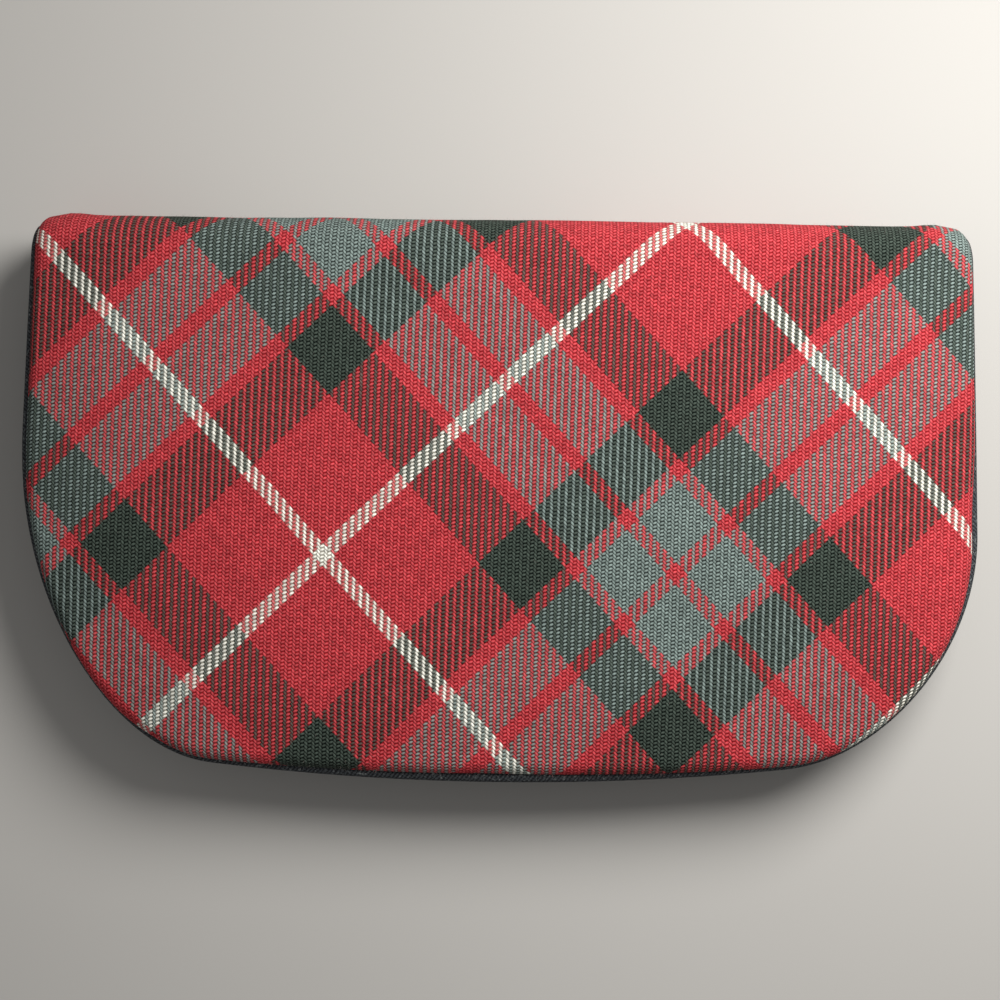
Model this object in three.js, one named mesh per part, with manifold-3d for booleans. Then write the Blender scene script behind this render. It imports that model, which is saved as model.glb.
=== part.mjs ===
// A flap clutch bag in tartan wool: a flat D-shaped pouch whose back panel runs over the top
// as a spine and down the front as a padded flap, edged with piping and shut by a magnetic snap.
// It lies on its back: +Z goes from the back panel to the flap, +Y from the rounded end to the fold.
// Millimetres. The origin is on the resting face, below the middle of the bag.
import * as THREE from "three";
import { mergeVertices } from "three/addons/utils/BufferGeometryUtils.js";
import Module from "manifold-3d";

const wasm = await Module();
wasm.setup();

// ---- Driving dimensions ----
const WIDTH = 220; // over the flap's piping
const HEIGHT = 130; // from the rounded end to the fold
const LEFT_CORNER = { x: 46, y: 80 }; // half-axes of the big lower corners
const RIGHT_CORNER = { x: 44, y: 56.5 };
const TOP_CORNER = { x: 6, y: 6 };
const SIDE_BOW = 0.4; // how much narrower each side is at the fold than at its widest
const BOTTOM_BOW = 10.3; // how much higher the rounded end is at the bag's sides than at its lowest point
const LOWEST_X = -1; // where along the rounded end that lowest point is
const GAP = 0.3; // clearance between neighbouring layers
const SEW_STEP = 8; // spacing of the points along a straight edge

// Thickness of each material
const CLOTH = 1.2;
const HIDE = 1.0;
const LINING = 0.5;
const BACK_BOARD = 1.0;
const PANEL_BOARD = 0.8;
const FLAP_FOAM = 2.0;
const SPINE_FOAM = 1.4;

const POCKET_DEPTH = 9.5; // free height inside the pouch
const FLAP_PIPING = 1.4; // radius of the cord round the flap
const BODY_PIPING = 1.2; // radius of the cords round the pouch
const CORD_SIDES = 8;
const CORD_STEPS = 84;
const SPINE_CORD_STEPS = 10;
const FRONT_FOLD = 9; // outer radius where the flap meets the spine
const BACK_FOLD = 6; // outer radius where the back meets the spine
const FOLD_PIECES = 5; // facets in half a fold
const EDGE_ROUND = 2.6; // rounding of the flap's top edge
const EDGE_ROUND_STEPS = 3;

const SNAP_Y = -32; // centre of the magnetic snap
const SNAP_R = 7.2;
const SNAP_PLATE_R = 6.4;
const SNAP_WALL = 0.6;
const SNAP_FLOOR = 0.3;
const SOCKET_HEIGHT = 1.6;
const STUD_BASE = 0.6;
const STUD_R = 2.5;
const STUD_HOLE_R = 3.1;
const PRONG = { width: 3, thick: 0.6, out: 4.2 };
const ROUND_SEGMENTS = 28;

// Insets from the bag's outer edge
const CLOTH_INSET = 1.2; // the flap's piping shows this much past the cloth
const BODY_INSET = 3; // the pouch is this much smaller than the flap
const MOUTH_Y = 48; // top edge of the front panel
const BACK_TOP_Y = 57; // top edge of the back's board and lining, and of the gusset
const SLIP_TOP_Y = 24; // top edge of the card pocket
const SLIP_INSET = 9;
const BINDING = 0.6;
const BINDING_WIDTH = 5;
const HEM_WIDTH = 5;

// ---- The stack of layers, from the resting face up: [lowest, highest] ----
const stack = {};
let nextLevel = 0;
function lay(name, thickness) {
  stack[name] = [nextLevel, nextLevel + thickness];
  nextLevel += thickness + GAP;
}
lay("back_shell", CLOTH);
lay("back_board", BACK_BOARD);
lay("back_lining", LINING);
lay("pocket", POCKET_DEPTH);
lay("front_lining", LINING);
lay("front_board", PANEL_BOARD);
lay("front_shell", HIDE);
lay("snap_socket", SOCKET_HEIGHT);
lay("snap_stud", STUD_BASE);
lay("flap_lining", LINING);
lay("flap_board", PANEL_BOARD);
lay("flap_padding", FLAP_FOAM);
lay("flap_shell", CLOTH);
const THICKNESS = stack.flap_shell[1];
const FOLD_Y = HEIGHT / 2;

// Centres of the two folds, in (y, z)
const frontFold = { y: FOLD_Y - FRONT_FOLD, z: THICKNESS - FRONT_FOLD };
const backFold = { y: FOLD_Y - BACK_FOLD, z: BACK_FOLD };

// Heights of the piping cords' centre lines
const FLAP_CORD_Z = stack.flap_lining[0] + 0.2;
const BACK_CORD_Z = stack.back_shell[1] + GAP + BODY_PIPING;
const FRONT_CORD_Z = stack.front_lining[0] + BODY_PIPING;
const BODY_CORD_INSET = BODY_INSET + BODY_PIPING;
const PANEL_INSET = BODY_CORD_INSET + BODY_PIPING + GAP;
const CORD_FOLD_R = FLAP_CORD_Z - frontFold.z; // how far the flap's cord lies from its fold's centre
const FOLD_CORD_INSET = FLAP_PIPING + 0.4;
const FLAP_PANEL_INSET = FOLD_CORD_INSET + FLAP_PIPING + GAP;
const FLAP_CORD_START = (3 * Math.PI) / 8; // angle on the fold where the cord turns along the side

// Where the spine's cords end, beside the back fold
const SPINE_CORD_END = [
  { y: backFold.y + 1, z: backFold.z + 1.5, inset: BODY_CORD_INSET - 1.2 },
  { y: backFold.y + 1.2, z: backFold.z - 1.2, inset: BODY_CORD_INSET - 0.4 },
];

// ---- Materials ----
function material(color, roughness, metalness = 0) {
  return new THREE.MeshStandardMaterial({ color, roughness, metalness });
}
const tartan = material(0xa8323a, 0.9);
const leatherette = material(0x1c1d1f, 0.5);
const satin = material(0x17181b, 0.45);
const greyBoard = material(0x8f8a80, 0.9);
const foam = material(0xd8d6cf, 0.95);
const nickel = material(0xb9bcc0, 0.25, 1);
const magnet = material(0x3b3d40, 0.4, 1);

// ---- Solids ----
function solidOf(geometry) {
  const bare = geometry.clone();
  bare.deleteAttribute("normal");
  bare.deleteAttribute("uv");
  const merged = mergeVertices(bare, 1e-4);
  const mesh = new wasm.Mesh({
    numProp: 3,
    vertProperties: Float32Array.from(merged.attributes.position.array),
    triVerts: Uint32Array.from(merged.index.array),
  });
  return new wasm.Manifold(mesh);
}

function geometryOf(solid) {
  const mesh = solid.getMesh();
  const geometry = new THREE.BufferGeometry();
  geometry.setAttribute("position", new THREE.BufferAttribute(mesh.vertProperties, 3));
  geometry.setIndex(new THREE.BufferAttribute(mesh.triVerts, 1));
  geometry.computeVertexNormals();
  return geometry;
}

function part(name, solid, look) {
  const mesh = new THREE.Mesh(geometryOf(solid), look);
  mesh.name = name;
  return mesh;
}

// ---- The D-shaped outline ----
// Bows the straight edges: the sides lean in towards the fold, the rounded end bulges.
function bow(x, y) {
  const up = Math.max(0, y / FOLD_Y);
  const down = Math.max(0, -y / FOLD_Y);
  const across = (2 * (x - LOWEST_X)) / WIDTH;
  return new THREE.Vector2(
    x * (1 - (2 * SIDE_BOW * up * up) / WIDTH),
    y + BOTTOM_BOW * across * across * down,
  );
}

function straight(x0, y0, x1, y1) {
  const steps = Math.max(1, Math.round(Math.hypot(x1 - x0, y1 - y0) / SEW_STEP));
  const points = [];
  for (let i = 1; i < steps; i += 1) {
    points.push([x0 + ((x1 - x0) * i) / steps, y0 + ((y1 - y0) * i) / steps]);
  }
  return points;
}

function corner(cx, cy, rx, ry, from, steps = 12) {
  const points = [];
  for (let i = 0; i <= steps; i += 1) {
    const turn = from + (Math.PI / 2) * (i / steps);
    points.push([cx + rx * Math.cos(turn), cy + ry * Math.sin(turn)]);
  }
  return points;
}

// The open edge: down the left side, round the end and up the right side.
function openEdge(inset, topY) {
  const half = WIDTH / 2;
  const left = { x: LEFT_CORNER.x - inset, y: LEFT_CORNER.y - inset };
  const right = { x: RIGHT_CORNER.x - inset, y: RIGHT_CORNER.y - inset };
  const leftX = -half + LEFT_CORNER.x;
  const rightX = half - RIGHT_CORNER.x;
  const leftY = -FOLD_Y + LEFT_CORNER.y;
  const rightY = -FOLD_Y + RIGHT_CORNER.y;
  const bottom = -FOLD_Y + inset;
  const points = [
    [-half + inset, topY],
    ...straight(-half + inset, topY, -half + inset, leftY),
    ...corner(leftX, leftY, left.x, left.y, Math.PI),
    ...straight(leftX, bottom, rightX, bottom),
    ...corner(rightX, rightY, right.x, right.y, 1.5 * Math.PI),
    ...straight(half - inset, rightY, half - inset, topY),
    [half - inset, topY],
  ];
  return points.map(([x, y]) => bow(x, y));
}

// The closed D, with small rounded corners where it reaches the fold.
function dShape(inset, topY, rounded = false) {
  if (!rounded) {
    return new THREE.Shape(openEdge(inset, topY));
  }
  const side = WIDTH / 2 - inset;
  const x = side - TOP_CORNER.x;
  const y = topY - TOP_CORNER.y;
  const upper = [
    ...corner(x, y, TOP_CORNER.x, TOP_CORNER.y, 0, 5),
    ...corner(-x, y, TOP_CORNER.x, TOP_CORNER.y, Math.PI / 2, 5),
  ].map(([px, py]) => bow(px, py));
  return new THREE.Shape([...openEdge(inset, y).slice(1, -1), ...upper]);
}

function plate(shape, [low, high]) {
  const geometry = new THREE.ExtrudeGeometry(shape, { depth: high - low, bevelEnabled: false });
  geometry.translate(0, 0, low);
  return solidOf(geometry);
}

// The closed D as a tall block whose top edge is rounded.
function roundedBlock(inset, [low, high]) {
  const geometry = new THREE.ExtrudeGeometry(dShape(inset, FOLD_Y, true), {
    depth: high - low - 2 * EDGE_ROUND,
    bevelThickness: EDGE_ROUND,
    bevelSize: EDGE_ROUND,
    bevelOffset: -EDGE_ROUND,
    bevelSegments: EDGE_ROUND_STEPS,
  });
  geometry.translate(0, 0, low + EDGE_ROUND);
  return solidOf(geometry);
}

function box(width, depth, [low, high], x, y) {
  const geometry = new THREE.BoxGeometry(width, depth, high - low);
  geometry.translate(x, y, (low + high) / 2);
  return solidOf(geometry);
}

// A turned piece about the snap's axis; the profile is (radius, height) and starts and ends on it.
function turned(profile) {
  const points = profile.map(([r, z]) => new THREE.Vector2(r, z));
  const geometry = new THREE.LatheGeometry(points, ROUND_SEGMENTS);
  geometry.rotateX(Math.PI / 2);
  geometry.translate(0, SNAP_Y, 0);
  return solidOf(geometry);
}

function disc(radius, [low, high]) {
  return turned([[0, low], [radius, low], [radius, high], [0, high]]);
}

function cord(points, radius, steps) {
  const section = new THREE.Shape();
  for (let i = 0; i < CORD_SIDES; i += 1) {
    const turn = (2 * Math.PI * i) / CORD_SIDES;
    const move = i === 0 ? "moveTo" : "lineTo";
    section[move](radius * Math.cos(turn), radius * Math.sin(turn));
  }
  section.closePath();
  const path = new THREE.CatmullRomCurve3(points, false, "centripetal");
  return solidOf(new THREE.ExtrudeGeometry(section, { steps, extrudePath: path }));
}

// ---- Layers that follow the folds ----
// A point on a fold at a depth below the outer face; the angle is counted from +Y towards +Z.
function onFold(fold, radius, angle) {
  return [fold.y + radius * Math.cos(angle), fold.z + radius * Math.sin(angle)];
}

function arc(fold, radius, from, to) {
  const points = [];
  for (let i = 0; i <= FOLD_PIECES; i += 1) {
    points.push(onFold(fold, radius, from + ((to - from) * i) / FOLD_PIECES));
  }
  return points;
}

// The angle on each side of a fold's middle that leaves half the gap at this radius.
function cut(radius) {
  return GAP / 2 / radius;
}

function flapLine(depth) {
  const radius = FRONT_FOLD - depth;
  const end = Math.PI / 4 + cut(radius);
  return [[-HEIGHT, THICKNESS - depth], ...arc(frontFold, radius, Math.PI / 2, end)];
}

function spineLine(depth) {
  const front = FRONT_FOLD - depth;
  const back = BACK_FOLD - depth;
  return [
    ...arc(frontFold, front, Math.PI / 4 - cut(front), 0),
    ...arc(backFold, back, 0, -Math.PI / 4 + cut(back)),
  ];
}

function backLine(depth) {
  const radius = BACK_FOLD - depth;
  const end = -Math.PI / 4 - cut(radius);
  return [[-HEIGHT, depth], ...arc(backFold, radius, -Math.PI / 2, end)];
}

// A band of the given thickness below the outer face, as wide as the bag.
function band(line, depth, thickness) {
  const outline = [...line(depth), ...line(depth + thickness).reverse()];
  const shape = new THREE.Shape(outline.map(([y, z]) => new THREE.Vector2(y, z)));
  const geometry = new THREE.ExtrudeGeometry(shape, { depth: WIDTH, bevelEnabled: false });
  const yzx = new THREE.Matrix4().makeBasis(
    new THREE.Vector3(0, 1, 0),
    new THREE.Vector3(0, 0, 1),
    new THREE.Vector3(1, 0, 0),
  );
  geometry.applyMatrix4(yzx);
  geometry.translate(-WIDTH / 2, 0, 0);
  return solidOf(geometry);
}

// ---- Flap ----
function flapShell() {
  const outside = roundedBlock(CLOTH_INSET, [-THICKNESS, THICKNESS]);
  const inside = plate(dShape(CLOTH_INSET + CLOTH, FOLD_Y + 1), [-THICKNESS, 2 * THICKNESS]);
  const skirtLow = FLAP_CORD_Z + FLAP_PIPING + GAP;
  const room = box(WIDTH, HEIGHT, [skirtLow, THICKNESS], 0, frontFold.y - HEIGHT / 2);
  const skirt = outside.subtract(inside).intersect(room);
  return band(flapLine, 0, CLOTH).intersect(outside).add(skirt);
}

function snapHole([low, high]) {
  return disc(SNAP_PLATE_R + 2 * GAP, [low - 1, high + 1]);
}

// Two prongs reach from a snap half through the cloth into its backing plate.
function prongs([low, high], slack) {
  const pair = [-1, 1].map((side) =>
    box(PRONG.thick + 2 * slack, PRONG.width + 2 * slack, [low, high], side * PRONG.out, SNAP_Y),
  );
  return pair[0].add(pair[1]);
}

function flapPanel(name, inset) {
  const depth = THICKNESS - stack[name][1];
  const thickness = stack[name][1] - stack[name][0];
  const room = plate(dShape(inset, FOLD_Y, true), [0, THICKNESS]);
  return band(flapLine, depth, thickness).intersect(room);
}

function flapBoard() {
  const flat = stack.flap_board;
  return plate(dShape(FLAP_PANEL_INSET, frontFold.y), flat).subtract(snapHole(flat));
}

function flapLining() {
  const through = [stack.flap_lining[0] - 1, stack.flap_lining[1] + 1];
  return flapPanel("flap_lining", FLAP_PANEL_INSET).subtract(prongs(through, GAP));
}

// A point of a cord's centre line at one side of the bag.
function sideCordPoint(side, y, z, inset) {
  const edge = bow(side * (WIDTH / 2 - inset), y);
  return new THREE.Vector3(edge.x, y, z);
}

function foldCord(side, from, to) {
  return arc(frontFold, CORD_FOLD_R, from, to).map(([y, z]) =>
    sideCordPoint(side, y, z, FOLD_CORD_INSET),
  );
}

function flapPiping() {
  const end = Math.PI / 4 + cut(CORD_FOLD_R);
  const edge = openEdge(FLAP_PIPING, frontFold.y - TOP_CORNER.y);
  const round = edge.map(({ x, y }) => new THREE.Vector3(x, y, FLAP_CORD_Z));
  const start = foldCord(-1, end, FLAP_CORD_START);
  const finish = foldCord(1, FLAP_CORD_START, end);
  return cord([...start, ...round, ...finish], FLAP_PIPING, CORD_STEPS);
}

// ---- Spine ----
function spineLayer(depth, thickness, inset) {
  const room = plate(dShape(inset, FOLD_Y, true), [0, THICKNESS]);
  return band(spineLine, depth, thickness).intersect(room);
}

function spinePiping(side) {
  const upper = foldCord(side, Math.PI / 4 - cut(CORD_FOLD_R), 0);
  const lower = SPINE_CORD_END.map(({ y, z, inset }) => sideCordPoint(side, y, z, inset));
  return cord([...upper, ...lower], BODY_PIPING, SPINE_CORD_STEPS);
}

// ---- Pouch ----
function backShell() {
  const room = plate(dShape(BODY_CORD_INSET, FOLD_Y, true), [-1, THICKNESS]);
  return band(backLine, 0, CLOTH).intersect(room);
}

function bodyPiping(height, topY) {
  const edge = openEdge(BODY_CORD_INSET, topY);
  const points = edge.map(({ x, y }) => new THREE.Vector3(x, y, height));
  return cord(points, BODY_PIPING, CORD_STEPS);
}

// A strip round the left side, the end and the right side, open at the fold.
function strip(inset, thickness) {
  const levels = [BACK_CORD_Z + BODY_PIPING + GAP, FRONT_CORD_Z - BODY_PIPING - GAP];
  const beyond = [levels[0] - 1, levels[1] + 1];
  const outside = plate(dShape(inset, BACK_TOP_Y), levels);
  return outside.subtract(plate(dShape(inset + thickness, BACK_TOP_Y + 1), beyond));
}

function frontPanel(name) {
  return plate(dShape(PANEL_INSET, MOUTH_Y), stack[name]);
}

function frontShell() {
  const through = [stack.front_shell[0] - 1, stack.front_shell[1] + 1];
  return frontPanel("front_shell").subtract(prongs(through, GAP));
}

// A strip folded over the front panel's top edge.
function mouthBinding() {
  const inner = [stack.front_lining[0] - GAP, stack.front_shell[1] + GAP];
  const outer = [inner[0] - BINDING, inner[1] + BINDING];
  const length = WIDTH - 2 * PANEL_INSET - 2;
  const middle = MOUTH_Y + GAP + BINDING - BINDING_WIDTH / 2;
  const slot = box(WIDTH, BINDING_WIDTH, inner, 0, middle - BINDING);
  return box(length, BINDING_WIDTH, outer, 0, middle).subtract(slot);
}

function slipPocket() {
  const low = stack.pocket[0];
  return plate(dShape(SLIP_INSET, SLIP_TOP_Y), [low, low + LINING]);
}

function slipPocketHem() {
  const low = stack.pocket[0] + LINING + GAP;
  const length = WIDTH - 2 * SLIP_INSET;
  return box(length - 2, HEM_WIDTH, [low, low + LINING], 0, SLIP_TOP_Y - HEM_WIDTH / 2);
}

// ---- Magnetic snap ----
function snapSocket() {
  const [low, high] = stack.snap_socket;
  const cup = turned([
    [0, low],
    [SNAP_R, low],
    [SNAP_R, high],
    [SNAP_R - SNAP_WALL, high],
    [SNAP_R - SNAP_WALL, low + SNAP_FLOOR],
    [0, low + SNAP_FLOOR],
  ]);
  return cup.add(prongs([stack.front_board[0] + 0.2, low + SNAP_FLOOR / 2], 0));
}

function snapMagnet() {
  const [low, high] = stack.snap_socket;
  const ring = [low + SNAP_FLOOR + GAP, high];
  const hole = disc(STUD_HOLE_R, [low, high + 1]);
  return disc(SNAP_R - SNAP_WALL - GAP, ring).subtract(hole);
}

function snapStud() {
  const [low, high] = stack.snap_stud;
  const tip = stack.snap_socket[0] + SNAP_FLOOR + GAP;
  const stud = turned([
    [0, tip],
    [STUD_R, tip],
    [STUD_R, low],
    [SNAP_R, low],
    [SNAP_R, high],
    [0, high],
  ]);
  return stud.add(prongs([high - STUD_BASE / 2, stack.flap_board[1] - 0.2], 0));
}

function snapPlate([low, high]) {
  return disc(SNAP_PLATE_R, [low, high]).subtract(prongs([low - 1, high + 1], GAP));
}

function frontBoard() {
  return frontPanel("front_board").subtract(snapHole(stack.front_board));
}

// ---- Assembly ----
const spineLiningDepth = CLOTH + SPINE_FOAM + 2 * GAP;
const pouch = new THREE.Group();
pouch.add(
  part("back_shell", backShell(), tartan),
  part("back_board", plate(dShape(PANEL_INSET, BACK_TOP_Y), stack.back_board), greyBoard),
  part("back_lining", plate(dShape(PANEL_INSET, BACK_TOP_Y), stack.back_lining), satin),
  part("back_piping", bodyPiping(BACK_CORD_Z, BACK_TOP_Y), leatherette),
  part("gusset_shell", strip(BODY_INSET + 1, HIDE), leatherette),
  part("gusset_lining", strip(BODY_INSET + 1 + HIDE + GAP, LINING), satin),
  part("front_shell", frontShell(), leatherette),
  part("front_board", frontBoard(), greyBoard),
  part("front_lining", frontPanel("front_lining"), satin),
  part("front_piping", bodyPiping(FRONT_CORD_Z, MOUTH_Y), leatherette),
  part("mouth_binding", mouthBinding(), leatherette),
  part("slip_pocket", slipPocket(), satin),
  part("slip_pocket_hem", slipPocketHem(), leatherette),
  part("snap_socket", snapSocket(), nickel),
  part("snap_magnet", snapMagnet(), magnet),
  part("snap_socket_plate", snapPlate(stack.front_board), nickel),
);

const spine = new THREE.Group();
spine.add(
  part("spine_shell", spineLayer(0, CLOTH, CLOTH_INSET), tartan),
  part("spine_padding", spineLayer(CLOTH + GAP, SPINE_FOAM, FLAP_PANEL_INSET), foam),
  part("spine_lining", spineLayer(spineLiningDepth, LINING, FLAP_PANEL_INSET + 1), satin),
  part("spine_piping_left", spinePiping(-1), leatherette),
  part("spine_piping_right", spinePiping(1), leatherette),
);

const flap = new THREE.Group();
flap.add(
  part("flap_shell", flapShell(), tartan),
  part("flap_padding", flapPanel("flap_padding", CLOTH_INSET + CLOTH + GAP), foam),
  part("flap_board", flapBoard(), greyBoard),
  part("flap_lining", flapLining(), satin),
  part("flap_piping", flapPiping(), leatherette),
  part("snap_stud", snapStud(), nickel),
  part("snap_stud_plate", snapPlate(stack.flap_board), nickel),
);

const clutch = new THREE.Group();
clutch.add(pouch, spine, flap);

export default clutch;
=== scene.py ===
"""A tartan flap clutch bag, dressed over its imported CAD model. Blender 4.5.

Sizes are in millimetres until a mesh is made. The tartan panels, their linings and their piping are laid
out flat, as cut, with s counted up the bag and over the fold; place() bends that flat layout round the bag.
"""
import math

import bmesh
import bpy
import numpy as np
from mathutils import Matrix, Vector, noise
from mathutils.geometry import delaunay_2d_cdt


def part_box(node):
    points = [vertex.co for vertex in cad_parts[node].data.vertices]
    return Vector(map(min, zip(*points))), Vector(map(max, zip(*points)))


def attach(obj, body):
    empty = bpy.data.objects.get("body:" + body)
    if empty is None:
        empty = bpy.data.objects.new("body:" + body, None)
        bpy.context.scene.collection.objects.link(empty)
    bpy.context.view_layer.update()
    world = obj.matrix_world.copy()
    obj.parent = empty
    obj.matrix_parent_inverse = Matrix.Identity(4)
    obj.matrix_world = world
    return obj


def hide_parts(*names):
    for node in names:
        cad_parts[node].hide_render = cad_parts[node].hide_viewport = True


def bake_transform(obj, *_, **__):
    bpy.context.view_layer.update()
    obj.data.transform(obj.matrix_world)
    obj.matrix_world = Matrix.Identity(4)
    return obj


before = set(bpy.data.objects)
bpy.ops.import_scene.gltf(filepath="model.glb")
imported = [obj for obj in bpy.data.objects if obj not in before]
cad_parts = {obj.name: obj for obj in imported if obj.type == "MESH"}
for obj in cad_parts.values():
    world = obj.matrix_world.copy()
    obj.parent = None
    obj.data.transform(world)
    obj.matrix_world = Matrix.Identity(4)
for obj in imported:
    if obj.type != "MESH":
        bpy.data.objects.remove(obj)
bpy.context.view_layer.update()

MM = 0.001


def node_box(node):
    """A CAD node's lowest and highest corner in millimetres."""
    low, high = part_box(node)
    return np.array(low) / MM, np.array(high) / MM


# ---- Sizes, from the frame and the few that it doesn't hold ----
low, high = node_box("flap_piping")
WIDTH = high[0] - low[0]
BOTTOM_Y = low[1]
FOLD_Y = node_box("spine_shell")[1][1]
TOP_Z = node_box("flap_shell")[1][2]
FRONT_FOLD = 9.0  # outer radii of the two folds
BACK_FOLD = 6.0
SPLIT_Z = TOP_Z / 2  # the spine's middle, where the flap's cloth meets the back's

LEFT_CORNER = (46.0, 80.0)  # half-axes of the big lower corners
RIGHT_CORNER = (44.0, 56.5)
SIDE_BOW = 0.4  # how much narrower each side is at the fold
BOTTOM_BOW = 10.3  # how much higher the rounded end is at the sides than at its lowest point
LOWEST_X = -1.0  # where that lowest point is

# The piping cords: radius, inset from the bag's outline, and depth of their middle below the outer face
FLAP_CORD_R = 1.4
BODY_CORD_R = 1.2
FLAP_CORD_INSET = 1.4
BODY_CORD_INSET = 4.2
SPINE_CORD_INSET = 2.0
FLAP_CORD_DEPTH = TOP_Z - (node_box("flap_piping")[0][2] + FLAP_CORD_R)
BACK_CORD_DEPTH = np.mean([b[2] for b in node_box("back_piping")])
SPINE_CORD_DEPTH = 3.4


def smooth(start, end, value):
    """0 before start, 1 after end, and a smooth step between them."""
    t = np.clip((np.asarray(value, float) - start) / (end - start), 0, 1)
    return t * t * (3 - 2 * t)


def mm(*point):
    return tuple(c * MM for c in point)


def nearest(points, others):
    """The distance from each point to the nearest of the others, worked out in parts to spare memory."""
    parts = np.array_split(points, 20)
    return np.concatenate([np.linalg.norm(part[:, None] - others[None], axis=2).min(1) for part in parts])


# ---- The flat layout and how it bends round the bag ----
class Side:
    """One face of the bag, its fold and its half of the spine. s runs up the face and over the fold."""

    def __init__(self, radius, up):
        self.radius = radius
        self.up = up  # 1 for the flap's face, -1 for the back's
        self.bend = FOLD_Y - radius  # s where the fold starts
        self.straight = self.bend + radius * math.pi / 2  # s where the fold ends
        reach = (TOP_Z - SPLIT_Z if up > 0 else SPLIT_Z) - radius
        self.split = self.straight + reach  # s at the spine's middle

    def place(self, x, s, depth):
        """The point at (x, s) on the flat layout, depth below the outer face, as an (n, 3) array."""
        x, s, depth = np.broadcast_arrays(np.asarray(x, float), s, depth)
        angle = np.clip((s - self.bend) / self.radius, 0, math.pi / 2)
        past = np.maximum(s - self.straight, 0)
        before = np.minimum(s - self.bend, 0)
        y = self.bend + before + (self.radius - depth) * np.sin(angle)
        below = self.radius - (self.radius - depth) * np.cos(angle) + past
        z = TOP_Z - below if self.up > 0 else below
        return np.stack([x, y, z], -1)

    def over_fold(self, s):
        """0 on the face, 1 on the spine."""
        return smooth(self.bend - 2, self.straight, s)


FRONT = Side(FRONT_FOLD, 1)
BACK = Side(BACK_FOLD, -1)


def bow(x, y):
    """The sides lean in towards the fold and the rounded end bulges."""
    up = np.clip(y / FOLD_Y, 0, 1)
    down = np.clip(-y / FOLD_Y, 0, None)
    across = 2 * (x - LOWEST_X) / WIDTH
    return x * (1 - 2 * SIDE_BOW * up * up / WIDTH), y + BOTTOM_BOW * across * across * down


class Flat:
    """A flat level, for the pieces that stop short of the folds."""

    def __init__(self, level):
        self.level = level

    def place(self, x, s, depth):
        x, s, depth = np.broadcast_arrays(np.asarray(x, float), s, depth)
        return np.stack([x, s, self.level - depth], -1)


class Outline:
    """The open D: down the left side, round the end, up the right side to top, with outward normals."""

    def __init__(self, top, step=1.6):
        half = WIDTH / 2
        quarter = np.linspace(0, math.pi / 2, 90)
        left_x, left_y = -half + LEFT_CORNER[0], BOTTOM_Y + LEFT_CORNER[1]
        right_x, right_y = half - RIGHT_CORNER[0], BOTTOM_Y + RIGHT_CORNER[1]
        down = np.linspace(top, left_y, 120)[:-1]
        up = np.linspace(right_y, top, 120)[1:]
        end = np.linspace(left_x, right_x, 90)[1:-1]
        x = np.concatenate([
            np.full(down.size, -half),
            left_x - LEFT_CORNER[0] * np.cos(quarter),
            end,
            right_x + RIGHT_CORNER[0] * np.sin(quarter),
            np.full(up.size, half),
        ])
        y = np.concatenate([
            down,
            left_y - LEFT_CORNER[1] * np.sin(quarter),
            np.full(end.size, BOTTOM_Y),
            right_y - RIGHT_CORNER[1] * np.cos(quarter),
            up,
        ])
        x, y = bow(x, y)
        run = np.concatenate([[0], np.cumsum(np.hypot(np.diff(x), np.diff(y)))])
        self.run = np.linspace(0, run[-1], int(run[-1] / step))
        self.x = np.interp(self.run, run, x)
        self.s = np.interp(self.run, run, y)
        tx, ts = np.gradient(self.x), np.gradient(self.s)
        length = np.hypot(tx, ts)
        self.nx, self.ns = ts / length, -tx / length
        self.nx[[0, -1]], self.ns[[0, -1]] = [-1, 1], 0

    def inset(self, distance):
        """The outline moved inwards by a distance, one number or one for each point."""
        return self.x - self.nx * distance, self.s - self.ns * distance

    def distance(self, x, s):
        """How far inside the outline each point lies."""
        return nearest(np.stack([x, s], -1), np.stack([self.x, self.s], -1))


def ripple(x, s, size, seed):
    """Slow smooth unevenness between about -1 and 1, with features of that size."""
    return np.array([noise.noise(Vector((a / size, b / size, seed))) for a, b in zip(x, s)]) * 1.6


# ---- Meshes ----
def tube_faces(rings, count, base=0):
    """The four-sided faces between successive rings of count points, the first point being base."""
    faces = []
    for i in range(rings - 1):
        near, far = base + i * count, base + (i + 1) * count
        for j in range(count):
            k = (j + 1) % count
            faces.append([near + j, near + k, far + k, far + j])
    return faces


def end_faces(rings, count, base=0):
    """The faces that close such a tube at its two ends."""
    last = base + (rings - 1) * count
    return [list(range(base, base + count)), list(reversed(range(last, last + count)))]


def make_object(name, points, faces, material, smooth_shading=True):
    mesh = bpy.data.meshes.new(name)
    mesh.from_pydata((np.asarray(points) * MM).tolist(), [], faces)
    mesh.validate()
    if smooth_shading:
        mesh.shade_smooth()
    mesh.materials.append(material)
    piece = bpy.data.objects.new(name, mesh)
    bpy.context.scene.collection.objects.link(piece)
    return piece


def store(piece, name, values):
    """Keeps a vector for each vertex, for the materials to read."""
    attribute = piece.data.attributes.new(name, "FLOAT_VECTOR", "POINT")
    flat = np.zeros((len(piece.data.vertices), 3), np.float32)
    values = np.asarray(values, np.float32)
    flat[:, :values.shape[1]] = values
    attribute.data.foreach_set("vector", flat.ravel())


def face_outwards(piece):
    """Turns every face of a closed piece to look out."""
    work = bmesh.new()
    work.from_mesh(piece.data)
    bmesh.ops.recalc_face_normals(work, faces=work.faces)
    work.to_mesh(piece.data)
    work.free()


def keep_cut_crisp(piece):
    """Keeps the long cut along a piece's top sharp, so that it meets its neighbour without a shaded line."""
    cut = max(piece.data.polygons, key=lambda polygon: len(polygon.vertices))
    cut.use_smooth = False
    keys = set(cut.edge_keys)
    for edge in piece.data.edges:
        if edge.key in keys:
            edge.use_edge_sharp = True


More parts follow.
